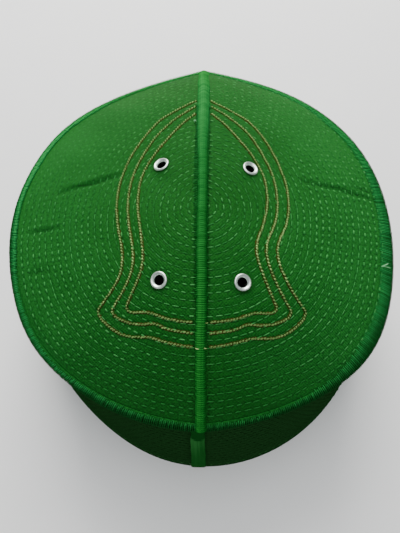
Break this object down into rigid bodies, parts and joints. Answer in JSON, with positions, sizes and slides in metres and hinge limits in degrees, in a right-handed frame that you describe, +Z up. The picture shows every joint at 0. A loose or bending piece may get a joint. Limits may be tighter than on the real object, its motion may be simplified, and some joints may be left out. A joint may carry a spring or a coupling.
{
  "type": "kufi",
  "caption": "Brimless quilted cap with a gently ridged round crown in two halves, a rib over the seam, an overlocked lip, a flared band and small metal eyelets.",
  "frame": {"origin": "centre of the rim's oval, on the surface that the rim rests on", "axes": "+Z up out of the crown, +Y towards the back seam, -Y towards the front seam, +X to the wearer's left as the front faces -Y"},
  "size_m": [0.174, 0.19, 0.0848],
  "materials": {
    "crown_cloth": "matte quilted cotton with running stitches",
    "rib_thread": "satin stitch with a soft sheen",
    "edge_thread": "dense overlock thread",
    "band_cloth": "matte quilted cotton",
    "strip_cloth": "dense zigzag stitching",
    "eyelet_metal": "polished, slightly worn"
  },
  "bodies": {
    "root": {"crown_left": "crown_cloth", "crown_right": "crown_cloth", "seam_rib": "rib_thread", "crown_flange": "edge_thread", "band_left": "band_cloth", "band_right": "band_cloth", "front_seam_strip": "strip_cloth", "back_seam_strip": "strip_cloth", "eyelet_back_left": "eyelet_metal", "eyelet_back_right": "eyelet_metal", "eyelet_front_left": "eyelet_metal", "eyelet_front_right": "eyelet_metal"}
  },
  "joints": []
}
